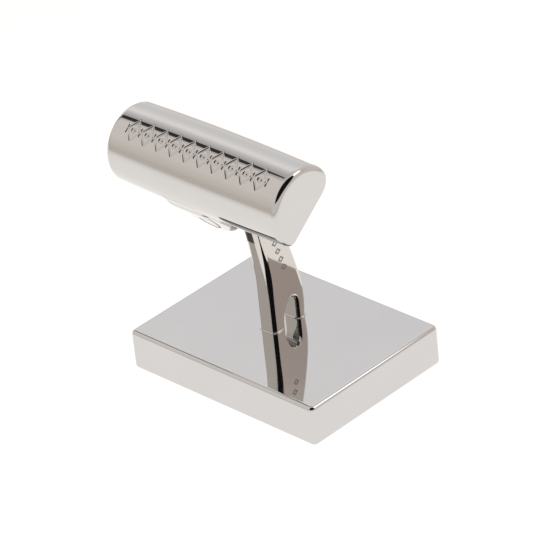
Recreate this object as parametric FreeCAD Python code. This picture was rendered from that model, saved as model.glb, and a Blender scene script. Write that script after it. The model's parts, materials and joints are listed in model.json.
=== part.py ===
import FreeCAD, Part

import math
import os

from FreeCAD import Placement, Rotation, Vector

# Swivel-back cufflink in millimetres.
# Frame: +Z up, the face plate lies on Z = 0, origin at the middle of its outer (show) face.
# X runs along the plate's long side and along the locked toggle, Y along the short side.

# Face plate
PLATE_LENGTH = 18.0
PLATE_WIDTH = 13.4
PLATE_THICKNESS = 3.2
PLATE_CORNER_RADIUS = 0.45
PLATE_EDGE_RADIUS = 0.35

# Stem: one flat blank standing in a YZ plane, with a forked foot and a squared cam head
STEM_X = -0.5
STEM_THICKNESS = 1.52
STEM_OFFSET = -0.06
STEM_EDGE_RADIUS = 0.38
FOOT_STRAIGHT = 2.4
NECK_WIDTH = 1.9
NECK_DROP = 0.75

# Lines of the stem as (Y, height above the plate), from the foot upwards
FRONT_LINE = (
    (-1.08, FOOT_STRAIGHT),
    (-1.095, 3.4),
    (-1.15, 4.4),
    (-1.26, 5.4),
    (-1.4, 6.4),
    (-1.56, 7.4),
    (-1.74, 8.4),
    (-2.0, 9.4),
)
BACK_LINE = ((2.28, 0.0), (2.38, 1.0), (2.39, 1.9), (2.26, 3.1), (1.98, 4.4), (1.48, 6.2), (0.82, 8.0))
ARCH_LINE = ((0.02, 0.5), (0.14, 1.15), (0.4, 1.68), (0.82, 2.02), (1.22, 1.99), (1.43, 1.57), (1.46, 1.0))
FOOT_FRONT_Y = FRONT_LINE[0][0]
FOOT_BACK_Y = BACK_LINE[0][0]
ARCH_FRONT_Y = ARCH_LINE[0][0]
ARCH_BACK_Y = ARCH_LINE[-1][0]

# Toggle: a slightly barrelled bar, full round on one half, D section on the other
TOGGLE_Y = -4.1
TOGGLE_HEIGHT = 14.6
TOGGLE_TILT = 38.0
TOGGLE_LENGTH = 16.5
TOGGLE_RADIUS = 3.05
TOGGLE_END_RADIUS = 2.92
TOGGLE_END_ROUNDING = 0.45
FLAT_DEPTH = 0.92
FLAT_FAR_ROUNDING = 0.7

# Hub: two round cheeks on the underside of the toggle that carry the pin
HUB_RADIUS = 3.3
HUB_CENTRE_DEPTH = -0.35
HUB_HALF_WIDTH = 3.08
HUB_RIM_ROUNDING = 0.4
SLOT_HALF_WIDTH = 1.25
SLOT_BACK_X = -1.32

# Pivot pin and cam
PIVOT_DEPTH = 1.66
PIN_RADIUS = 0.5
PIN_CLEARANCE = 0.03
PIN_HEAD_RADIUS = 0.9
PIN_HEAD_DEPTH = 0.4
CAM_HALF_SIDE = 0.95
CAM_CORNER_RADIUS = 0.4
CAM_HALF_WIDTH = 1.2

# Leaf spring lying in a groove of the flat, held by one rivet
SPRING_THICKNESS = 0.25
SPRING_WIDTH = 1.6
SPRING_START_X = -1.2
SPRING_END_X = 6.8
SPRING_ROOT_X = 4.6
SPRING_TRAVEL = 0.3
GROOVE_SIDE_GAP = 0.1
RIVET_X = 5.7
RIVET_RADIUS = 0.4
RIVET_LENGTH = 1.6
RIVET_HEAD_RADIUS = 0.7
RIVET_HEAD_THICKNESS = 0.18

# Solder seams round the two feet
SEAM_SIZE = 0.1

CAM_TOP_DEPTH = PIVOT_DEPTH - CAM_HALF_SIDE
TILT = math.radians(TOGGLE_TILT)
DOWN = Vector(0, math.sin(TILT), -math.cos(TILT))
ALONG_PIN = Vector(0, math.cos(TILT), math.sin(TILT))
TOGGLE_CENTRE = Vector(STEM_X, TOGGLE_Y, PLATE_THICKNESS + TOGGLE_HEIGHT)
PIVOT = TOGGLE_CENTRE + DOWN * PIVOT_DEPTH
TOGGLE_PLACEMENT = Placement(TOGGLE_CENTRE, Rotation(Vector(1, 0, 0), TOGGLE_TILT))


def box(x0, x1, y0, y1, z0, z1):
    return Part.makeBox(x1 - x0, y1 - y0, z1 - z0, Vector(x0, y0, z0))


def in_place(shape):
    """Move a toggle part from the toggle's own frame (axis X, pin along Y) to its locked place."""
    moved = shape.copy()
    moved.Placement = TOGGLE_PLACEMENT
    return moved


def cylinder_y(radius, half_length, x, z):
    return Part.makeCylinder(radius, 2 * half_length, Vector(x, -half_length, z), Vector(0, 1, 0))


def face_plate():
    half_length = PLATE_LENGTH / 2
    half_width = PLATE_WIDTH / 2
    blank = box(-half_length, half_length, -half_width, half_width, 0, PLATE_THICKNESS)
    uprights = [e for e in blank.Edges if abs(e.tangentAt(e.FirstParameter).z) > 0.9]
    blank = blank.makeFillet(PLATE_CORNER_RADIUS, uprights)
    rims = [e for e in blank.Edges if e.BoundBox.ZLength < 1e-6]
    return blank.makeFillet(PLATE_EDGE_RADIUS, rims)


def curve_through(points):
    """A smooth curve in the YZ plane through these points."""
    curve = Part.BSplineCurve()
    curve.interpolate(points)
    return curve


def above_plate(line):
    return [Vector(0, y, PLATE_THICKNESS + height) for y, height in line]


def stem_outline():
    """Outer outline of the stem in the YZ plane, up to the neck inside the cam."""
    top = PLATE_THICKNESS
    neck = PIVOT + DOWN * NECK_DROP
    front_neck = neck - ALONG_PIN * (NECK_WIDTH / 2)
    back_neck = neck + ALONG_PIN * (NECK_WIDTH / 2)
    front_neck.x = 0
    back_neck.x = 0
    front_foot = Vector(0, FOOT_FRONT_Y, top)
    front = above_plate(FRONT_LINE) + [front_neck]
    back = above_plate(BACK_LINE) + [back_neck]
    edges = [
        Part.LineSegment(front_foot, front[0]),
        curve_through(front),
        Part.LineSegment(front_neck, back_neck),
        curve_through(back[::-1]),
        Part.LineSegment(back[0], front_foot),
    ]
    return Part.Wire([e.toShape() for e in edges])


def arch_outline():
    """Opening between the two legs of the foot, leaning towards the back leg."""
    below = PLATE_THICKNESS - 1.0
    arch = above_plate(ARCH_LINE)
    front_sill = Vector(0, ARCH_FRONT_Y, below)
    back_sill = Vector(0, ARCH_BACK_Y, below)
    edges = [
        Part.LineSegment(front_sill, arch[0]),
        curve_through(arch),
        Part.LineSegment(arch[-1], back_sill),
        Part.LineSegment(back_sill, front_sill),
    ]
    return Part.Wire([e.toShape() for e in edges])


def cam_head():
    """Squared head with rounded corners, in the toggle's own frame."""
    half = CAM_HALF_SIDE
    block = box(-half, half, -CAM_HALF_WIDTH, CAM_HALF_WIDTH, -PIVOT_DEPTH - half, -PIVOT_DEPTH + half)
    corners = [e for e in block.Edges if abs(e.tangentAt(e.FirstParameter).y) > 0.9]
    return in_place(block.makeFillet(CAM_CORNER_RADIUS, corners))


def stem():
    left = STEM_X + STEM_OFFSET - STEM_THICKNESS / 2
    across = Vector(STEM_THICKNESS, 0, 0)
    blank = Part.Face(stem_outline()).extrude(across)
    blank.translate(Vector(left, 0, 0))
    arch = Part.Face(arch_outline()).extrude(across * 3)
    arch.translate(Vector(left - STEM_THICKNESS, 0, 0))
    long_edges = [e for e in blank.Edges if is_side_edge(e)]
    blank = blank.makeFillet(STEM_EDGE_RADIUS, long_edges)
    blank = blank.cut(arch)
    body = blank.fuse(cam_head())
    bore = in_place(cylinder_y(PIN_RADIUS + PIN_CLEARANCE, CAM_HALF_WIDTH + 1, 0, -PIVOT_DEPTH))
    return body.cut(bore)


def is_side_edge(edge):
    """Edges of the two flat faces of the stem that run along its front and back."""
    bounds = edge.BoundBox
    return bounds.XLength < 1e-6 and bounds.ZLength > 1.5


def seam(front_y, back_y):
    """A sloped bead of solder round one rectangular foot."""
    left = STEM_X + STEM_OFFSET - STEM_THICKNESS / 2
    right = left + STEM_THICKNESS
    top = PLATE_THICKNESS
    bead = box(left - SEAM_SIZE, right + SEAM_SIZE, front_y - SEAM_SIZE, back_y + SEAM_SIZE, top, top + SEAM_SIZE)
    rim = [e for e in bead.Edges if e.BoundBox.ZMin > top + SEAM_SIZE / 2]
    return bead.makeChamfer(SEAM_SIZE * 0.8, rim)


def barrel():
    half = TOGGLE_LENGTH / 2
    end = TOGGLE_END_RADIUS
    top = Vector(0, 0, TOGGLE_RADIUS)
    outline = [
        Part.LineSegment(Vector(-half, 0, 0), Vector(-half, 0, end)),
        Part.Arc(Vector(-half, 0, end), top, Vector(half, 0, end)),
        Part.LineSegment(Vector(half, 0, end), Vector(half, 0, 0)),
        Part.LineSegment(Vector(half, 0, 0), Vector(-half, 0, 0)),
    ]
    profile = Part.Face(Part.Wire([e.toShape() for e in outline]))
    return profile.revolve(Vector(0, 0, 0), Vector(1, 0, 0), 360)


def round_half():
    """The -X half of the bar, with the full round section."""
    bar = barrel()
    bar = bar.makeFillet(TOGGLE_END_ROUNDING, [e for e in bar.Edges if is_end_arc(e)])
    reach = TOGGLE_LENGTH
    return bar.common(box(-reach, 0, -reach, reach, -reach, reach))


def d_half():
    """The +X half of the bar, cut flat underneath, with the far edge of the flat rounded."""
    reach = TOGGLE_LENGTH
    bar = barrel().cut(box(-reach, reach, -reach, reach, -reach, -FLAT_DEPTH))
    bar = bar.makeFillet(FLAT_FAR_ROUNDING, [e for e in bar.Edges if is_far_flat_edge(e)])
    bar = bar.makeFillet(TOGGLE_END_ROUNDING, [e for e in bar.Edges if is_end_arc(e)])
    return bar.common(box(0, reach, -reach, reach, -reach, reach))


def is_far_flat_edge(edge):
    bounds = edge.BoundBox
    on_flat = abs(bounds.ZMin + FLAT_DEPTH) < 1e-3 and bounds.ZLength < 1e-3
    return on_flat and bounds.XLength > TOGGLE_LENGTH / 4 and bounds.YMin > 0


def is_end_arc(edge):
    """Round edges of the two end faces, without the straight edge of the flat."""
    bounds = edge.BoundBox
    in_end_face = bounds.XLength < 1e-6 and abs(abs(bounds.XMin) - TOGGLE_LENGTH / 2) < 1e-6
    return in_end_face and bounds.ZMax > 0.01 - FLAT_DEPTH


def hub():
    disc = cylinder_y(HUB_RADIUS, HUB_HALF_WIDTH, 0, -HUB_CENTRE_DEPTH)
    disc = disc.makeFillet(HUB_RIM_ROUNDING, [e for e in disc.Edges if e.BoundBox.YLength < 1e-6])
    reach = HUB_RADIUS * 2
    return disc.common(box(-reach, reach, -reach, reach, -reach, 0))


def spring_groove():
    side = SPRING_WIDTH / 2 + GROOVE_SIDE_GAP
    end = SPRING_END_X + GROOVE_SIDE_GAP
    seat_depth = CAM_TOP_DEPTH - SPRING_THICKNESS
    seat = box(SLOT_BACK_X, end, -side, side, -FLAT_DEPTH - 1, -seat_depth)
    relief = box(SLOT_BACK_X, SPRING_ROOT_X, -side, side, -FLAT_DEPTH, -seat_depth + SPRING_TRAVEL)
    return seat.fuse(relief)


def stem_slot():
    reach = TOGGLE_LENGTH
    side = SLOT_HALF_WIDTH
    roof = -(CAM_TOP_DEPTH - SPRING_THICKNESS)
    head_room = box(SLOT_BACK_X, -SLOT_BACK_X, -side, side, -reach, roof)
    mouth = box(SLOT_BACK_X, reach, -side, side, -reach, -FLAT_DEPTH)
    return head_room.fuse(mouth)


def toggle_body():
    body = round_half().fuse(d_half()).fuse(hub())
    body = body.cut(stem_slot())
    body = body.cut(spring_groove())
    body = body.cut(pin_solid())
    body = body.cut(rivet_solid())
    return body


def pin_solid():
    pin = cylinder_y(PIN_RADIUS, HUB_HALF_WIDTH, 0, -PIVOT_DEPTH)
    for side in (-1, 1):
        head = Part.makeCone(
            PIN_RADIUS,
            PIN_HEAD_RADIUS,
            PIN_HEAD_DEPTH,
            Vector(0, side * (HUB_HALF_WIDTH - PIN_HEAD_DEPTH), -PIVOT_DEPTH),
            Vector(0, side, 0),
        )
        pin = pin.fuse(head)
    return pin.removeSplitter()


def leaf_spring():
    half = SPRING_WIDTH / 2
    blank = box(SPRING_START_X, SPRING_END_X, -half, half, -CAM_TOP_DEPTH, -CAM_TOP_DEPTH + SPRING_THICKNESS)
    corners = [e for e in blank.Edges if abs(e.tangentAt(e.FirstParameter).z) > 0.9]
    return blank.makeFillet(half / 2, corners)


def rivet_solid():
    down = Vector(0, 0, -1)
    top = Vector(RIVET_X, 0, -CAM_TOP_DEPTH + SPRING_THICKNESS + RIVET_LENGTH)
    shank = Part.makeCylinder(RIVET_RADIUS, RIVET_LENGTH + SPRING_THICKNESS, top, down)
    head = Part.makeCylinder(RIVET_HEAD_RADIUS, RIVET_HEAD_THICKNESS, Vector(RIVET_X, 0, -CAM_TOP_DEPTH), down)
    return shank.fuse(head).removeSplitter()


def build():
    stem_shape = stem()
    rivet = rivet_solid()
    nodes = {
        "face_plate": face_plate(),
        "stem": stem_shape,
        "front_solder_seam": seam(FOOT_FRONT_Y, ARCH_FRONT_Y).cut(stem_shape),
        "rear_solder_seam": seam(ARCH_BACK_Y, FOOT_BACK_Y).cut(stem_shape),
        "toggle_body": in_place(toggle_body()),
        "pivot_pin": in_place(pin_solid()),
        "detent_spring": in_place(leaf_spring().cut(rivet)),
        "spring_rivet": in_place(rivet),
    }
    os.makedirs("parts", exist_ok=True)
    for name, shape in nodes.items():
        solids = shape.Solids
        print(name, "solids", len(solids), "valid", shape.isValid(), "volume", round(shape.Volume, 3))
        solids[0].exportStep("parts/" + name + ".step")
    print("pivot", PIVOT, "pin axis", ALONG_PIN, "toggle centre", TOGGLE_CENTRE)


build()
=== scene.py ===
import json
import math

import bpy
import numpy as np
from mathutils import Matrix, Vector
from mathutils.geometry import delaunay_2d_cdt


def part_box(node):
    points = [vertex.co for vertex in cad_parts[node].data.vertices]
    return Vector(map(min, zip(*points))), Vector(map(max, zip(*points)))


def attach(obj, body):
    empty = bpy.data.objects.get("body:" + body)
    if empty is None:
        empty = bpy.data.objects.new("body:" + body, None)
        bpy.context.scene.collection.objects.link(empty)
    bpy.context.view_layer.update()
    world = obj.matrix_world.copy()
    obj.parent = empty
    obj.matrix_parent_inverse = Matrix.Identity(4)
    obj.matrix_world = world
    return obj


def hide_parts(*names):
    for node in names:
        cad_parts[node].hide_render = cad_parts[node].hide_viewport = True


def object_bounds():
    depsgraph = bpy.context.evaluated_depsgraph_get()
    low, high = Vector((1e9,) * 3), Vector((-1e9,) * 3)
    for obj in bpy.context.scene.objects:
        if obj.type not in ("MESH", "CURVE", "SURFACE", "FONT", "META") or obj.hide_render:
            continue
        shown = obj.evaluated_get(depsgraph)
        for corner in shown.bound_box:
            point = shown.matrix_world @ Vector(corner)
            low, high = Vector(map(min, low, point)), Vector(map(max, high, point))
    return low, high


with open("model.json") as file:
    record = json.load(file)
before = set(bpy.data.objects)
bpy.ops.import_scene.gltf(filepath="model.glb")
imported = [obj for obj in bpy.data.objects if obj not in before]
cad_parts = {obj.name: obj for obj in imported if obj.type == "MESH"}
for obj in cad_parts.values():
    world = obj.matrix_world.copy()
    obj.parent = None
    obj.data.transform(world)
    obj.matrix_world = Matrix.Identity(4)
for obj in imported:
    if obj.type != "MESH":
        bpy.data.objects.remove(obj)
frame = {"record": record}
cad_low, cad_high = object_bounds()

MM = 0.001

# ---------------------------------------------------------------- sizes read from the frame
joint = frame["record"]["behaviour"]["joints"][0]
pivot = Vector(joint["pos_m"])
pin_axis = Vector(joint["axis"]).normalized()
plate_low, plate_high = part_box("face_plate")
toggle_low, toggle_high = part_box("toggle_body")

TILT = math.atan2(pin_axis.z, pin_axis.y)
DOWN = Vector((0, math.sin(TILT), -math.cos(TILT)))

PIVOT_DEPTH = 1.66 * MM
TOGGLE_CENTRE = pivot - DOWN * PIVOT_DEPTH
TOGGLE_HALF = (toggle_high.x - toggle_low.x) / 2
TOGGLE_TO_WORLD = Matrix.Translation(TOGGLE_CENTRE) @ Matrix.Rotation(TILT, 4, "X")

# toggle, in metres
BAR_RADIUS = 3.05 * MM
BAR_END_RADIUS = 2.92 * MM
BAR_END_ROUNDING = 0.45 * MM
FLAT_DEPTH = 0.92 * MM
FLAT_NEAR_ROUNDING = 0.035 * MM
FLAT_FAR_ROUNDING = 0.7 * MM
HUB_RADIUS = 3.3 * MM
HUB_CENTRE_DEPTH = -0.35 * MM
HUB_HALF_WIDTH = 3.07 * MM
HUB_RIM_ROUNDING = 0.4 * MM
HUB_BLEND = 0.5 * MM
HUB_TAPER = 0.3 * MM
SLOT_HALF_WIDTH = 1.25 * MM
SLOT_BACK = -1.32 * MM
CAM_TOP_DEPTH = 0.71 * MM
SPRING_THICKNESS = 0.25 * MM
TOGGLE_SHARP_ANGLE = 62

# engraved ornament round the crown of the toggle
BAND_HALF_LENGTH = 6.75 * MM
BAND_HALF_HEIGHT = 0.78 * MM
ENGRAVING_DEPTH = 0.06 * MM
ENGRAVING_WIDTH = 0.22 * MM
MOTIFS = 10


# ---------------------------------------------------------------- mesh helpers
def make_object(name, vertices, faces, normals=None, smooth=True):
    mesh = bpy.data.meshes.new(name)
    mesh.from_pydata([tuple(v) for v in vertices], [], [tuple(int(i) for i in f) for f in faces])
    mesh.validate()
    obj = bpy.data.objects.new(name, mesh)
    bpy.context.collection.objects.link(obj)
    mesh.polygons.foreach_set("use_smooth", [smooth] * len(mesh.polygons))
    if normals is not None:
        mesh.normals_split_custom_set_from_vertices([tuple(n) for n in normals])
    return obj


def unit(array):
    return array / np.maximum(np.linalg.norm(array, axis=-1, keepdims=True), 1e-12)


def ring_faces(first, second, count):
    index = np.arange(count)
    following = (index + 1) % count
    return [(first + a, first + b, second + b, second + a) for a, b in zip(index, following)]


def outline_normals(points):
    """Outward normals of a closed counter-clockwise outline, and how much further a corner point moves."""
    after = unit(np.roll(points, -1, axis=0) - points)
    before = unit(points - np.roll(points, 1, axis=0))
    along = unit(after + before)
    mitre = 1 / np.maximum(np.sum(along * after, axis=1), 0.5)
    return np.stack([along[:, 1], -along[:, 0]], axis=1), mitre


def cap_faces(flat, first):
    """Well-shaped triangles that fill a flat outline; first is the number of its first vertex."""
    corners = [Vector(p) / MM for p in flat]
    result = delaunay_2d_cdt(corners, [], [list(range(len(corners)))], 1, 1e-7)
    origins = result[3]
    return [tuple(first + origins[i][0] for i in face) for face in result[2]]


def rounded_slab(name, outline, rounding, low, high, to_world, steps=8):
    """A slab between the heights low and high, with this closed outline and its long edges rounded.

    rounding is one radius, or one for each point of the outline. to_world turns (u, v, height) into a place.
    """
    outline = np.asarray(outline, float)
    count = len(outline)
    radius = np.broadcast_to(np.asarray(rounding, float), (count,))
    normal, mitre = outline_normals(outline)
    rings = []
    ring_normals = []
    for side in (-1, 1):
        turns = np.linspace(0, math.pi / 2, steps + 1)
        if side < 0:
            turns = turns[::-1]
        for turn in turns:
            inset = radius * (1 - math.cos(turn))
            lift = radius * (1 - math.sin(turn))
            height = (low + lift) if side < 0 else (high - lift)
            flat = outline - normal * (inset * mitre)[:, None]
            rings.append(np.column_stack([flat, height]))
            tilt = np.full(count, side * math.sin(turn))
            ring_normals.append(np.column_stack([normal * math.cos(turn), tilt]))
    points = np.concatenate(rings)
    normals = np.concatenate(ring_normals)
    faces = []
    for ring in range(len(rings) - 1):
        faces += ring_faces(ring * count, (ring + 1) * count, count)
    faces += [face[::-1] for face in cap_faces(rings[0][:, :2], 0)]
    faces += cap_faces(rings[-1][:, :2], (len(rings) - 1) * count)
    turned = np.array([to_world(Vector(p)) for p in points])
    origin = to_world(Vector((0, 0, 0)))
    turned_normals = np.array([to_world(Vector(n)) - origin for n in normals])
    return make_object(name, turned, faces, turned_normals)


def lathe(name, profile, segments, to_world):
    """Turns a profile of (radius, height) points about the height axis; both ends close on the axis."""
    angles = np.linspace(0, 2 * math.pi, segments, endpoint=False)
    points = []
    for radius, height in profile:
        points += [(radius * math.cos(a), radius * math.sin(a), height) for a in angles]
    faces = []
    for ring in range(len(profile) - 1):
        faces += ring_faces(ring * segments, (ring + 1) * segments, segments)
    faces.append(tuple(range(segments))[::-1])
    faces.append(tuple(range((len(profile) - 1) * segments, len(profile) * segments)))
    obj = make_object(name, [to_world(Vector(p)) for p in points], faces)
    edge_split = obj.modifiers.new("edges", "EDGE_SPLIT")
    edge_split.split_angle = math.radians(50)
    return obj


def arc_points(centre, radius, start, end, count):
    angles = np.radians(np.linspace(start, end, count))
    return [(centre[0] + radius * math.cos(a), centre[1] + radius * math.sin(a)) for a in angles]


def smooth_through(points, count):
    """Points of a natural cubic spline through these points."""
    points = np.asarray(points, float)
    knots = np.concatenate([[0], np.cumsum(np.linalg.norm(np.diff(points, axis=0), axis=1))])
    step = np.diff(knots)
    size = len(points)
    matrix = np.eye(size)
    right = np.zeros((size, 2))
    for i in range(1, size - 1):
        matrix[i, i - 1 : i + 2] = (step[i - 1], 2 * (step[i - 1] + step[i]), step[i])
        right[i] = 6 * ((points[i + 1] - points[i]) / step[i] - (points[i] - points[i - 1]) / step[i - 1])
    bend = np.linalg.solve(matrix, right)
    places = np.linspace(0, knots[-1], count)
    span = np.clip(np.searchsorted(knots, places, side="right") - 1, 0, size - 2)
    width = step[span][:, None]
    b = (places - knots[span])[:, None] / width
    a = 1 - b
    curve = a * points[span] + b * points[span + 1]
    return curve + ((a**3 - a) * bend[span] + (b**3 - b) * bend[span + 1]) * width**2 / 6


# ---------------------------------------------------------------- materials
def node_material(name):
    material = bpy.data.materials.new(name)
    material.use_nodes = True
    nodes = material.node_tree.nodes
    return material, nodes, material.node_tree.links, nodes["Principled BSDF"]


def polished_metal(name, tint, shadow_tint, roughness, wave_height, wave_scale, speck=0.5):
    """Plated metal: faint colour drift, polishing haze in the roughness and a very slight surface wave."""
    material, nodes, links, shader = node_material(name)
    place = nodes.new("ShaderNodeTexCoord")
    drift = nodes.new("ShaderNodeTexNoise")
    drift.inputs["Scale"].default_value = 260.0
    drift.inputs["Detail"].default_value = 3.0
    ramp = nodes.new("ShaderNodeValToRGB")
    ramp.color_ramp.elements[0].position = 0.35
    ramp.color_ramp.elements[0].color = (*shadow_tint, 1)
    ramp.color_ramp.elements[1].position = 0.65
    ramp.color_ramp.elements[1].color = (*tint, 1)
    haze = nodes.new("ShaderNodeTexNoise")
    haze.inputs["Scale"].default_value = 900.0
    haze.inputs["Detail"].default_value = 5.0
    haze_range = nodes.new("ShaderNodeMapRange")
    haze_range.inputs["To Min"].default_value = roughness * (1 - speck)
    haze_range.inputs["To Max"].default_value = roughness * (1 + speck)
    wave = nodes.new("ShaderNodeTexNoise")
    wave.inputs["Scale"].default_value = wave_scale
    wave.inputs["Detail"].default_value = 1.0
    bump = nodes.new("ShaderNodeBump")
    bump.inputs["Strength"].default_value = 1.0
    bump.inputs["Distance"].default_value = wave_height
    for texture in (drift, haze, wave):
        links.new(place.outputs["Object"], texture.inputs["Vector"])
    links.new(drift.outputs["Fac"], ramp.inputs["Fac"])
    links.new(ramp.outputs["Color"], shader.inputs["Base Color"])
    links.new(haze.outputs["Fac"], haze_range.inputs["Value"])
    links.new(haze_range.outputs["Result"], shader.inputs["Roughness"])
    links.new(wave.outputs["Fac"], bump.inputs["Height"])
    links.new(bump.outputs["Normal"], shader.inputs["Normal"])
    shader.inputs["Metallic"].default_value = 1.0
    return material


DARK_PATCH_LOW = 10.85 * MM
DARK_PATCH_EDGE = -0.2 * MM
DARK_PATCH_RISE = 0.1 * MM
DARK_PATCH_FADE = 0.12 * MM
DARK_PATCH_TINT = (0.07, 0.065, 0.06)


def darken_under_hub(material):
    """A painted dark patch on the stem's front face under the hub, where the hub would mirror in it."""
    nodes, links = material.node_tree.nodes, material.node_tree.links
    shader = nodes["Principled BSDF"]
    metal = shader.inputs["Base Color"].links[0].from_socket
    place = nodes.new("ShaderNodeTexCoord")
    split = nodes.new("ShaderNodeSeparateXYZ")
    links.new(place.outputs["Object"], split.inputs[0])
    height = nodes.new("ShaderNodeMapRange")
    height.interpolation_type = "SMOOTHSTEP"
    height.inputs["From Min"].default_value = DARK_PATCH_LOW
    height.inputs["From Max"].default_value = DARK_PATCH_LOW + DARK_PATCH_RISE
    links.new(split.outputs["Z"], height.inputs["Value"])
    across = nodes.new("ShaderNodeMapRange")
    across.interpolation_type = "SMOOTHSTEP"
    across.inputs["From Min"].default_value = DARK_PATCH_EDGE
    across.inputs["From Max"].default_value = DARK_PATCH_EDGE - DARK_PATCH_FADE
    links.new(split.outputs["X"], across.inputs["Value"])
    facing = nodes.new("ShaderNodeNewGeometry")
    turned = nodes.new("ShaderNodeSeparateXYZ")
    links.new(facing.outputs["Normal"], turned.inputs[0])
    front = nodes.new("ShaderNodeMapRange")
    front.inputs["From Min"].default_value = -0.6
    front.inputs["From Max"].default_value = -0.8
    links.new(turned.outputs["Y"], front.inputs["Value"])
    both = nodes.new("ShaderNodeMath")
    both.operation = "MULTIPLY"
    links.new(height.outputs["Result"], both.inputs[0])
    links.new(across.outputs["Result"], both.inputs[1])
    masked = nodes.new("ShaderNodeMath")
    masked.operation = "MULTIPLY"
    links.new(both.outputs[0], masked.inputs[0])
    links.new(front.outputs["Result"], masked.inputs[1])
    blend = nodes.new("ShaderNodeMix")
    blend.data_type = "RGBA"
    blend.inputs["B"].default_value = (*DARK_PATCH_TINT, 1)
    links.new(masked.outputs[0], blend.inputs["Factor"])
    links.new(metal, blend.inputs["A"])
    links.new(next(o for o in blend.outputs if o.type == "RGBA"), shader.inputs["Base Color"])


plate_metal = polished_metal("plate_metal", (0.60, 0.605, 0.615), (0.59, 0.595, 0.605), 0.04, 0.0, 120.0)
stem_metal = polished_metal("stem_metal", (0.615, 0.60, 0.575), (0.60, 0.585, 0.56), 0.05, 0.0, 500.0)
toggle_metal = polished_metal("toggle_metal", (0.605, 0.605, 0.605), (0.595, 0.595, 0.595), 0.04, 0.0, 220.0)
solder_metal = polished_metal("solder", (0.60, 0.585, 0.56), (0.55, 0.53, 0.50), 0.12, 0.00001, 2500.0)
# Dark metal for the stem's marks. On the rims round the pin heads, the same dark is painted shade for the
# gap between each pin head and the hub.
mark_and_gap_shade_metal = polished_metal("mark_and_gap_shade_metal", (0.22, 0.21, 0.20), (0.16, 0.155, 0.15), 0.3, 0.0, 500.0)
darken_under_hub(stem_metal)
pin_steel = polished_metal("pin_steel", (0.59, 0.585, 0.58), (0.56, 0.555, 0.55), 0.06, 0.0, 1500.0)
spring_steel = polished_metal("spring_steel", (0.45, 0.45, 0.47), (0.38, 0.38, 0.40), 0.25, 0.0, 1500.0)


def dress(obj, material, body, slot_name, *nodes):
    obj.data.materials.clear()
    obj.data.materials.append(material)
    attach(obj, body)
    if nodes:
        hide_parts(*nodes)


# ---------------------------------------------------------------- face plate
def rounded_rectangle(half_x, half_y, radius, count=10):
    points = []
    corners = ((1, -1, -90), (1, 1, 0), (-1, 1, 90), (-1, -1, 180))
    for sx, sy, start in corners:
        centre = (sx * (half_x - radius), sy * (half_y - radius))
        points += arc_points(centre, radius, start, start + 90, count)
    return points


PLATE_CORNER = 0.45 * MM
PLATE_EDGE = 0.35 * MM


def build_plate():
    outline = rounded_rectangle(plate_high.x, plate_high.y, PLATE_CORNER)
    return rounded_slab("face_plate", outline, PLATE_EDGE, plate_low.z, plate_high.z, lambda p: p)


# ---------------------------------------------------------------- stem
SEAM_REACH = 0.1 * MM
SEAM_RISE = 0.09 * MM
STEM_MARKS = 5
STEM_MARK_START = (-0.35 * MM, 7.9 * MM)
STEM_MARK_END = (0.55 * MM, 4.9 * MM)
STEM_MARK_HALF = (0.3 * MM, 0.26 * MM)
STEM_MARK_HOLE = 0.5
STEM_EDGE = 0.38 * MM
STEM_UPPER_EDGE = 0.5 * MM
ARCH_EDGE = 0.26 * MM
ARCH_FRONT_EDGE = 0.06 * MM
STEM_HALF = 0.76 * MM
STEM_OFFSET = -0.06 * MM
CAM_HALF = 0.95 * MM
CAM_CORNER = 0.4 * MM
CAM_HALF_WIDTH = 1.2 * MM
NECK_HALF = 0.95 * MM
NECK_DROP = 0.75 * MM
FOOT_SINK = 0.8 * MM

# (Y, height above the plate) in mm
FRONT_LINE = (
    (-1.08, 2.4),
    (-1.095, 3.4),
    (-1.15, 4.4),
    (-1.26, 5.4),
    (-1.4, 6.4),
    (-1.56, 7.4),
    (-1.74, 8.4),
    (-2.0, 9.4),
)
BACK_LINE = ((2.28, 0.0), (2.38, 1.0), (2.39, 1.9), (2.26, 3.1), (1.98, 4.4), (1.48, 6.2), (0.82, 8.0))
ARCH_LINE = ((0.02, 0.5), (0.14, 1.15), (0.4, 1.68), (0.82, 2.02), (1.22, 1.99), (1.43, 1.57), (1.46, 1.0))


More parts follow.
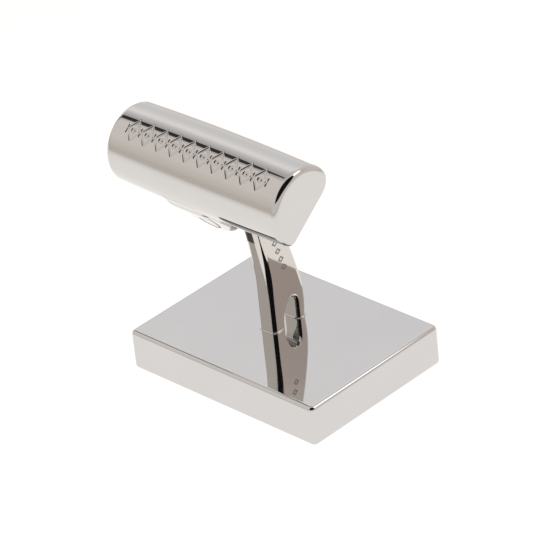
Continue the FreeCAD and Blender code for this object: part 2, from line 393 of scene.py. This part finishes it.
def stem_outline():
    """Closed outline of the blank in (Y, Z), counter-clockwise seen from +X.

    Each point is (y, z, radius of the long edge there).
    """
    top = plate_high.z
    neck = pivot + DOWN * NECK_DROP
    front_neck = (neck.y - pin_axis.y * NECK_HALF, neck.z - pin_axis.z * NECK_HALF)
    back_neck = (neck.y + pin_axis.y * NECK_HALF, neck.z + pin_axis.z * NECK_HALF)
    below = top - FOOT_SINK
    outline = []

    def place(points):
        return [(y * MM, top + z * MM) for y, z in points]

    def sunk(point):
        """The straight end of a leg from a point on it down into the plate."""
        return [(point[0], top + share * (below - top)) for share in (0.1, 0.45, 1.0)]

    def into_neck(z, end):
        """Share of the edge radius left near the neck, where the stem runs into its head."""
        return 1 - 0.9 * smooth_step(z, end - 1.6 * MM, end - 0.6 * MM)

    def add(points, radius):
        outline.extend((y, z, radius) for y, z in points)

    back = smooth_through(place(BACK_LINE) + [back_neck], 90)
    front = smooth_through(place(FRONT_LINE) + [front_neck], 80)[::-1]
    arch = smooth_through(place(ARCH_LINE), 50)
    add(sunk(back[0])[::-1], STEM_EDGE)
    for y, z in back:
        outline.append((y, z, STEM_EDGE * into_neck(z, back_neck[1])))
    for y, z in front:
        share = smooth_step(z - top, 2.2 * MM, 5.0 * MM)
        edge = STEM_EDGE + (STEM_UPPER_EDGE - STEM_EDGE) * share
        outline.append((y, z, edge * into_neck(z, front_neck[1])))
    add(sunk(front[-1]), STEM_EDGE)
    add(sunk(arch[0])[::-1], ARCH_FRONT_EDGE)
    for index, (y, z) in enumerate(arch):
        share = smooth_step(index / len(arch), 0.25, 0.7)
        outline.append((y, z, ARCH_FRONT_EDGE + (ARCH_EDGE - ARCH_FRONT_EDGE) * share))
    add(sunk(arch[-1]), ARCH_EDGE)
    return outline


def build_stem():
    outline = stem_outline()
    points = [(y, z) for y, z, _ in outline]
    radii = [radius for _, _, radius in outline]
    middle = pivot.x + STEM_OFFSET
    low, high = middle - STEM_HALF, middle + STEM_HALF
    return rounded_slab("stem", points, radii, low, high, lambda p: Vector((p.z, p.x, p.y)))


def build_seam(name):
    """A thin rounded bead of solder round one foot."""
    seam_low, seam_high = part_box(name)
    middle = (seam_low + seam_high) / 2
    half = (seam_high - seam_low) / 2
    flat = rounded_rectangle(half.x, half.y, STEM_EDGE + SEAM_REACH)
    outline = [(x + middle.x, y + middle.y) for x, y in flat]
    low, high = seam_low.z - 0.1 * MM, seam_low.z + SEAM_RISE
    return rounded_slab(name, outline, SEAM_RISE * 0.95, low, high, lambda p: p, steps=6)


def build_stem_marks():
    """A column of small lozenges on the stem's +X side, each a thin flat ring."""
    vertices, faces = [], []
    side = pivot.x + STEM_OFFSET + STEM_HALF
    low, high = side - 0.02 * MM, side + 0.006 * MM
    for index in range(STEM_MARKS):
        share = index / (STEM_MARKS - 1)
        y = STEM_MARK_START[0] + (STEM_MARK_END[0] - STEM_MARK_START[0]) * share
        z = STEM_MARK_START[1] + (STEM_MARK_END[1] - STEM_MARK_START[1]) * share
        first = len(vertices)
        for x in (low, high):
            for scale in (1.0, STEM_MARK_HOLE):
                for turn in range(4):
                    angle = math.radians(90 * turn)
                    dy = STEM_MARK_HALF[0] * scale * math.cos(angle)
                    dz = STEM_MARK_HALF[1] * scale * math.sin(angle)
                    vertices.append((x, y + dy, plate_high.z + z + dz))
        for turn in range(4):
            after = (turn + 1) % 4
            outer, inner = first + 8, first + 12
            faces.append((outer + turn, outer + after, inner + after, inner + turn))
            faces.append((first + turn, first + after, outer + after, outer + turn))
            faces.append((first + 4 + after, first + 4 + turn, inner + turn, inner + after))
            faces.append((first + after, first + turn, first + 4 + turn, first + 4 + after))
    return make_object("stem_marks", vertices, faces, smooth=False)


def build_cam():
    outline = rounded_rectangle(CAM_HALF, CAM_HALF, CAM_CORNER)

    def place(p):
        return TOGGLE_TO_WORLD @ Vector((p.x, -p.z, p.y - PIVOT_DEPTH))

    return rounded_slab("stem_cam", outline, 0.12 * MM, -CAM_HALF_WIDTH, CAM_HALF_WIDTH, place)


# ---------------------------------------------------------------- toggle
def round_max(a, b, radius):
    """Intersection of two distance fields with a rounded edge."""
    corner = np.hypot(np.maximum(radius + a, 0), np.maximum(radius + b, 0))
    return np.minimum(-radius, np.maximum(a, b)) + corner


def round_min(a, b, radius):
    """Union of two distance fields with a filleted crease."""
    corner = np.hypot(np.maximum(radius - a, 0), np.maximum(radius - b, 0))
    return np.maximum(radius, np.minimum(a, b)) - corner


def smooth_step(value, low, high):
    t = np.clip((value - low) / (high - low), 0, 1)
    return t * t * (3 - 2 * t)


def bar_radius(x):
    """Barrelled radius along the bar, with the round ends."""
    sag = BAR_RADIUS - BAR_END_RADIUS
    radius = BAR_RADIUS - sag * (x / TOGGLE_HALF) ** 2
    into_end = np.clip(np.abs(x) - (TOGGLE_HALF - BAR_END_ROUNDING), 0, BAR_END_ROUNDING)
    return radius - (BAR_END_ROUNDING - np.sqrt(np.maximum(BAR_END_ROUNDING**2 - into_end**2, 0)))


def toggle_field(x, across, depth):
    """Distance-like field of the outer skin. across is along the pin, depth is towards the stem."""
    bar = np.hypot(across, depth) - bar_radius(x)
    flat_rounding = np.where(across > 0, FLAT_FAR_ROUNDING, FLAT_NEAR_ROUNDING)
    d_section = round_max(bar, depth - FLAT_DEPTH, flat_rounding)
    bar = np.where(x > 0, d_section, bar)
    disc = np.hypot(x, depth - HUB_CENTRE_DEPTH) - HUB_RADIUS
    half_width = HUB_HALF_WIDTH - HUB_TAPER * (1 - smooth_step(depth, 0.0, 0.7 * MM))
    hub = round_max(np.abs(across) - half_width, disc, HUB_RIM_ROUNDING)
    hub = np.maximum(hub, -depth)
    blend = HUB_BLEND * (1 - smooth_step(x, -0.6 * MM, 1.2 * MM)) + 0.03 * MM
    return round_min(bar, hub, blend)


def engraving(x, arc):
    """Depth of the engraving at a place on the unrolled crown: a row of lozenges, each with a bead."""
    pitch = 2 * BAND_HALF_LENGTH / MOTIFS
    cell = np.floor((x + BAND_HALF_LENGTH) / pitch)
    local = x + BAND_HALF_LENGTH - (cell + 0.5) * pitch
    inside = (cell >= 0) & (cell < MOTIFS)
    half_w = 0.42 * pitch
    half_h = BAND_HALF_HEIGHT
    scale = 1 / math.hypot(1 / half_w, 1 / half_h)
    lozenge = np.abs(np.abs(local) / half_w + np.abs(arc) / half_h - 1) * scale
    bead = np.abs(np.hypot(local, arc) - 0.16 * MM)
    link = np.hypot(np.maximum(np.abs(np.abs(local) - pitch / 2), 0), np.maximum(np.abs(arc) - 0.3 * MM, 0))
    stroke = np.minimum(np.minimum(lozenge, bead), link)
    groove = 1 - smooth_step(stroke, 0.0, ENGRAVING_WIDTH / 2)
    return np.where(inside, groove * ENGRAVING_DEPTH, 0)


def toggle_angles():
    """Directions round the bar: fine over the engraved crown and round both edges of the flat."""
    crown = math.degrees(BAND_HALF_HEIGHT / BAR_RADIUS) + 2
    edge = math.degrees(math.asin(FLAT_DEPTH / BAR_RADIUS))
    stretches = (
        (-180 + edge - 2, -180 + edge + 2, 32),
        (-180 + edge + 2, -edge - 14, 90),
        (-edge - 14, -edge + 3, 34),
        (-edge + 3, 90 - crown, 56),
        (90 - crown, 90 + crown, 66),
        (90 + crown, 180 + edge - 2, 60),
    )
    angles = [np.linspace(a, b, n, endpoint=False) for a, b, n in stretches]
    return np.radians(np.concatenate(angles))


def toggle_stations():
    """Places along the bar, with extra places across the hub's walls."""
    half = TOGGLE_HALF
    turns = np.linspace(0, math.pi / 2, 12)
    ends = half - BAR_END_ROUNDING + BAR_END_ROUNDING * np.sin(turns)
    body = np.linspace(-(half - BAR_END_ROUNDING), half - BAR_END_ROUNDING, 501)[1:-1]
    hub_wall = np.linspace(2.75 * MM, 3.12 * MM, 16)
    body = np.unique(np.round(np.concatenate([body, hub_wall, [-1e-7, 1e-7]]), 9))
    return np.concatenate([-ends[::-1], body, ends])


def build_toggle():
    angles = toggle_angles()
    stations = toggle_stations()
    x, angle = np.meshgrid(stations, angles, indexing="ij")
    cos, sin = np.cos(angle), np.sin(angle)
    low = np.full(x.shape, 0.3 * MM)
    high = np.full(x.shape, 6.0 * MM)
    for _ in range(40):
        middle = (low + high) / 2
        outside = toggle_field(x, middle * cos, -middle * sin) > 0
        high = np.where(outside, middle, high)
        low = np.where(outside, low, middle)
    radius = (low + high) / 2
    arc = (math.pi / 2 - angle) * BAR_RADIUS
    cut = engraving(x, arc)
    radius = radius - cut
    points = np.stack([x, radius * cos, radius * sin], axis=-1)
    count = len(angles)
    rings = len(stations)
    vertices = points.reshape(-1, 3)
    faces = []
    for ring in range(rings - 1):
        faces += ring_faces(ring * count, (ring + 1) * count, count)
    faces = [f[::-1] for f in faces]
    faces.append(tuple(range(count)))
    faces.append(tuple(range((rings - 1) * count, rings * count))[::-1])
    world = [TOGGLE_TO_WORLD @ Vector(v) for v in vertices]
    return make_object("toggle_body", world, faces)


def cutter(name, x0, x1, y0, y1, z0, z1):
    corners = [(x, y, z) for x in (x0, x1) for y in (y0, y1) for z in (z0, z1)]
    faces = [(0, 1, 3, 2), (4, 6, 7, 5), (0, 4, 5, 1), (2, 3, 7, 6), (0, 2, 6, 4), (1, 5, 7, 3)]
    return make_object(name, [TOGGLE_TO_WORLD @ Vector(c) for c in corners], faces)


def cut(obj, tool):
    modifier = obj.modifiers.new("cut", "BOOLEAN")
    modifier.operation = "DIFFERENCE"
    modifier.solver = "EXACT"
    modifier.object = tool
    bpy.context.view_layer.objects.active = obj
    bpy.ops.object.modifier_apply(modifier=modifier.name)
    bpy.data.objects.remove(tool, do_unlink=True)


def sharpen(obj, degrees):
    """Smooth shading, split only along edges sharper than this."""
    mesh = obj.data
    mesh.polygons.foreach_set("use_smooth", [True] * len(mesh.polygons))
    mesh.set_sharp_from_angle(angle=math.radians(degrees))


def cut_toggle(obj):
    reach = 12 * MM
    roof = -(CAM_TOP_DEPTH - SPRING_THICKNESS)
    groove_side = 0.9 * MM
    groove_end = 6.9 * MM
    side = SLOT_HALF_WIDTH
    cut(obj, cutter("mouth", SLOT_BACK, reach, -side, side, -reach, -FLAT_DEPTH))
    cut(obj, cutter("head_room", SLOT_BACK, -SLOT_BACK, -side, side, -2 * MM, roof))
    cut(obj, cutter("groove", SLOT_BACK, groove_end, -groove_side, groove_side, -1.5 * MM, roof))
    cut(obj, cutter("relief", SLOT_BACK, 4.6 * MM, -groove_side, groove_side, -1.4 * MM, roof + 0.3 * MM))


# ---------------------------------------------------------------- small pieces inside the hub
def pin_place(p):
    return TOGGLE_TO_WORLD @ Vector((p.x, p.z, -PIVOT_DEPTH - p.y))


def build_pin():
    half = HUB_HALF_WIDTH
    dome = [(0.25, 0.009), (0.5, 0.008), (0.72, 0.005), (0.84, 0.0), (0.9, -0.02)]
    shank = 0.5 * MM
    flare = 0.9 * MM
    profile = [(r * MM, -half - h * MM) for r, h in dome]
    profile += [(flare, -half + 0.1 * MM), (shank, -half + 0.4 * MM)]
    profile += [(shank, half - 0.4 * MM), (flare, half - 0.1 * MM)]
    profile += [(r * MM, half + h * MM) for r, h in dome[::-1]]
    return lathe("pivot_pin", profile, 64, pin_place)


def build_pin_shade_rims():
    """A thin dark rim round each pin head. Its dark colour is painted shade for the shadowed gap between the
    pin head and the hub.
    """
    half = HUB_HALF_WIDTH
    shade_rims = []
    for side, name in ((-1, "pin_shade_rim_front"), (1, "pin_shade_rim_back")):
        section = [(0.95, -0.06), (0.97, 0.0), (0.95, 0.012), (0.84, 0.012), (0.82, 0.0)]
        profile = [(r * MM, side * (half + h * MM)) for r, h in section]
        if side > 0:
            profile.reverse()
        shade_rims.append(lathe(name, profile, 64, pin_place))
    return shade_rims


def build_rivet():
    x = 5.7 * MM
    under = -CAM_TOP_DEPTH
    profile = [(0.55, -0.18), (0.64, -0.15), (0.7, -0.08), (0.7, 0.0), (0.4, 0.0), (0.4, 1.8)]

    def place(p):
        return TOGGLE_TO_WORLD @ Vector((x + p.x, -p.y, under + p.z))

    return lathe("spring_rivet", [(r * MM, h * MM) for r, h in profile], 48, place)


def build_spring():
    start, end, half = -1.2 * MM, 6.8 * MM, 0.8 * MM
    centre = (start + end) / 2
    outline = [(x + centre, y) for x, y in rounded_rectangle((end - start) / 2, half, half * 0.5)]
    low = -CAM_TOP_DEPTH
    high = low + SPRING_THICKNESS

    def place(p):
        return TOGGLE_TO_WORLD @ p

    return rounded_slab("detent_spring", outline, 0.05 * MM, low, high, place, steps=3)


# ---------------------------------------------------------------- assembly
plate = build_plate()
dress(plate, plate_metal, "post", "plate_metal", "face_plate")

stem = build_stem()
dress(stem, stem_metal, "post", "stem_metal", "stem")
cam = build_cam()
dress(cam, stem_metal, "post", "stem_metal", "stem")

toggle = build_toggle()
cut_toggle(toggle)
sharpen(toggle, TOGGLE_SHARP_ANGLE)
dress(toggle, toggle_metal, "toggle", "toggle_metal", "toggle_body")

dress(build_pin(), pin_steel, "toggle", "pin_steel", "pivot_pin")
# Dark rims round the pin heads: painted shade for the shadowed gap between each pin head and the hub.
for shade_rim in build_pin_shade_rims():
    dress(shade_rim, mark_and_gap_shade_metal, "toggle", "pin_steel", "pivot_pin")
dress(build_rivet(), pin_steel, "toggle", "pin_steel", "spring_rivet")
dress(build_spring(), spring_steel, "toggle", "spring_steel", "detent_spring")

for name in ("front_solder_seam", "rear_solder_seam"):
    dress(build_seam(name), solder_metal, "post", "solder", name)
dress(build_stem_marks(), mark_and_gap_shade_metal, "post", "stem_metal", "stem")

# ---------------------------------------------------------------- studio
FLOOR_RADIUS = 0.3
FLOOR_LIGHT = (1.13, 1.08, 1.03)
FLOOR_SHADE = (0.71, 0.65, 0.58)
FLOOR_BRIGHT_RADIUS = 0.04
FLOOR_DIM_RADIUS = 0.15

# light arriving from the open side of the studio, by the angle over the toggle: 0 far horizon, 90 overhead,
# 180 near horizon
SKY = (
    (-10, (0.80, 0.76, 0.73)),
    (5, (0.88, 0.85, 0.83)),
    (18, (0.86, 0.84, 0.82)),
    (27, (0.87, 0.85, 0.84)),
    (36, (0.91, 0.90, 0.89)),
    (44, (0.99, 0.96, 0.94)),
    (52, (1.09, 1.05, 1.02)),
    (59, (1.06, 1.01, 0.98)),
    (66, (0.84, 0.80, 0.77)),
    (73, (0.71, 0.68, 0.66)),
    (79, (0.58, 0.56, 0.54)),
    (93, (0.62, 0.58, 0.54)),
    (97, (0.82, 0.76, 0.70)),
    (102, (0.92, 0.85, 0.79)),
    (150, (0.90, 0.82, 0.76)),
    (160, (0.85, 0.78, 0.71)),
    (171, (0.79, 0.73, 0.66)),
    (177, (0.75, 0.69, 0.62)),
    (182, (0.71, 0.65, 0.58)),
)
SKY_START, SKY_END = -30.0, 200.0
STREAK_ANGLE = 87.2
STREAK_HALF = 5.2
STREAK_SLOPE, STREAK_START = -90.0, -50.7
STREAK_EDGE = 1.2
STREAK_COLOUR = (0.045, 0.042, 0.042)

# patches of the room: direction, inner and outer angle, colour
RIGHT_SIDE_COLOUR = (0.84, 0.76, 0.73)
WARM_PATCH = ((0.62, 0.59, 0.52), 13, 22, (0.78, 0.66, 0.60))
BRIGHT_PATCH = ((0.52, 0.45, 0.72), 11, 14, (2.2, 2.2, 2.2))
DARK_REGION = ((0.68, -0.39, 0.62), 41, 45.5, (0.012, 0.011, 0.012))
DARK_REGION_LOW, DARK_REGION_FULL = 0.3, 0.38


# The floor glows, though it is no lamp: a painted pool of light, brightest round the object and fading out
# to the darker FLOOR_SHADE colour.
def build_floor():
    count = 96
    turn = np.linspace(0, 2 * math.pi, count, endpoint=False)
    corners = [(FLOOR_RADIUS * math.cos(a), FLOOR_RADIUS * math.sin(a), 0) for a in turn]
    floor = make_object("floor", corners, [tuple(range(count))])
    material, nodes, links, shader = node_material("floor_painted_light")
    place = nodes.new("ShaderNodeTexCoord")
    length = nodes.new("ShaderNodeVectorMath")
    length.operation = "LENGTH"
    fade = nodes.new("ShaderNodeMapRange")
    fade.interpolation_type = "SMOOTHSTEP"
    fade.inputs["From Min"].default_value = FLOOR_BRIGHT_RADIUS
    fade.inputs["From Max"].default_value = FLOOR_DIM_RADIUS
    ramp = nodes.new("ShaderNodeMix")
    ramp.data_type = "RGBA"
    ramp.inputs["A"].default_value = (*FLOOR_LIGHT, 1)
    ramp.inputs["B"].default_value = (*FLOOR_SHADE, 1)
    links.new(place.outputs["Object"], length.inputs[0])
    links.new(length.outputs["Value"], fade.inputs["Value"])
    links.new(fade.outputs["Result"], ramp.inputs["Factor"])
    links.new(ramp.outputs["Result"], shader.inputs["Emission Color"])
    shader.inputs["Base Color"].default_value = (0.02, 0.02, 0.02, 1)
    shader.inputs["Roughness"].default_value = 1.0
    shader.inputs["Specular IOR Level"].default_value = 0.0
    shader.inputs["Emission Strength"].default_value = 1.0
    floor.data.materials.append(material)


def build_world():
    world = bpy.data.worlds.new("studio")
    bpy.context.scene.world = world
    world.use_nodes = True
    nodes = world.node_tree.nodes
    links = world.node_tree.links
    background = nodes["Background"]
    background.inputs["Strength"].default_value = 1.0
    place = nodes.new("ShaderNodeTexCoord")
    direction = place.outputs["Generated"]
    parts = nodes.new("ShaderNodeSeparateXYZ")
    links.new(direction, parts.inputs[0])

    def math_node(operation, *values, clamp=False):
        node = nodes.new("ShaderNodeMath")
        node.operation = operation
        node.use_clamp = clamp
        for socket, value in zip(node.inputs, values):
            if isinstance(value, (int, float)):
                socket.default_value = value
            else:
                links.new(value, socket)
        return node.outputs[0]

    def fade(value, low, high):
        node = nodes.new("ShaderNodeMapRange")
        node.interpolation_type = "SMOOTHSTEP"
        node.inputs["From Min"].default_value = low
        node.inputs["From Max"].default_value = high
        links.new(value, node.inputs["Value"])
        return node.outputs["Result"]

    def spot(centre, inner, outer):
        """1 inside the inner angle round a direction, falling to 0 at the outer angle."""
        dot = nodes.new("ShaderNodeVectorMath")
        dot.operation = "DOT_PRODUCT"
        dot.inputs[1].default_value = tuple(Vector(centre).normalized())
        links.new(direction, dot.inputs[0])
        return fade(dot.outputs["Value"], math.cos(math.radians(outer)), math.cos(math.radians(inner)))

    def mix(factor, under, over):
        blend = nodes.new("ShaderNodeMix")
        blend.data_type = "RGBA"
        links.new(factor, blend.inputs["Factor"])
        for socket, value in ((blend.inputs["A"], under), (blend.inputs["B"], over)):
            if isinstance(value, tuple):
                socket.default_value = (*value, 1)
            else:
                links.new(value, socket)
        return next(o for o in blend.outputs if o.type == "RGBA")

    angle = math_node("DEGREES", math_node("ARCTAN2", parts.outputs["Z"], parts.outputs["Y"]))
    angle = math_node("WRAP", angle, 270.0, -90.0)
    share = math_node("DIVIDE", math_node("SUBTRACT", angle, SKY_START), SKY_END - SKY_START)
    ramp = nodes.new("ShaderNodeValToRGB")
    stops = ramp.color_ramp.elements
    while len(stops) < len(SKY):
        stops.new(0.5)
    for stop, (degrees, colour) in zip(stops, SKY):
        stop.position = (degrees - SKY_START) / (SKY_END - SKY_START)
        stop.color = (*colour, 1)
    links.new(share, ramp.inputs["Fac"])
    colour = ramp.outputs["Color"]

    # a dark bar overhead that runs out towards +X
    widening = math_node("MULTIPLY_ADD", parts.outputs["X"], STREAK_SLOPE, STREAK_START)
    half = math_node("MINIMUM", widening, STREAK_HALF)
    away = math_node("ABSOLUTE", math_node("SUBTRACT", angle, STREAK_ANGLE))
    inside = fade(math_node("SUBTRACT", half, away), -STREAK_EDGE, STREAK_EDGE)
    colour = mix(inside, colour, STREAK_COLOUR)

    # the room behind the camera and to the right
    right = fade(parts.outputs["X"], -0.3, 0.05)
    colour = mix(right, colour, RIGHT_SIDE_COLOUR)
    colour = mix(spot(*WARM_PATCH[:3]), colour, WARM_PATCH[3])
    colour = mix(spot(*BRIGHT_PATCH[:3]), colour, BRIGHT_PATCH[3])
    above = fade(parts.outputs["Z"], DARK_REGION_LOW, DARK_REGION_FULL)
    dark = math_node("MULTIPLY", spot(*DARK_REGION[:3]), above)
    colour = mix(dark, colour, DARK_REGION[3])

    # seen directly, the backdrop is plain white
    seen = nodes.new("ShaderNodeLightPath")
    colour = mix(seen.outputs["Is Camera Ray"], colour, (1.0, 1.0, 1.0))
    links.new(colour, background.inputs["Color"])


CAMERA_AZIMUTH, CAMERA_ELEVATION, CAMERA_ROLL = 46.56, 31.07, -6.23
CAMERA_DISTANCE = 282.6 * MM
CAMERA_AIM_OFFSET = Vector((0.87, -0.82, -1.98)) * MM
CAMERA_LENS = 261.8


def build_camera():
    azimuth, elevation, roll = map(math.radians, (CAMERA_AZIMUTH, CAMERA_ELEVATION, CAMERA_ROLL))
    level_reach = math.cos(elevation)
    back = Vector((math.sin(azimuth) * level_reach, -math.cos(azimuth) * level_reach, math.sin(elevation)))
    aim = (cad_low + cad_high) / 2 + CAMERA_AIM_OFFSET
    data = bpy.data.cameras.new("camera")
    data.lens = CAMERA_LENS
    data.sensor_width = 36.0
    data.clip_start = 0.01
    data.clip_end = 10.0
    camera = bpy.data.objects.new("camera", data)
    bpy.context.collection.objects.link(camera)
    level = (-back).to_track_quat("-Z", "Y")
    turn = level.to_matrix().to_4x4() @ Matrix.Rotation(roll, 4, "Z")
    camera.matrix_world = Matrix.Translation(aim + back * CAMERA_DISTANCE) @ turn
    bpy.context.scene.camera = camera


build_floor()
build_world()
build_camera()
bpy.context.scene.view_settings.view_transform = "Standard"
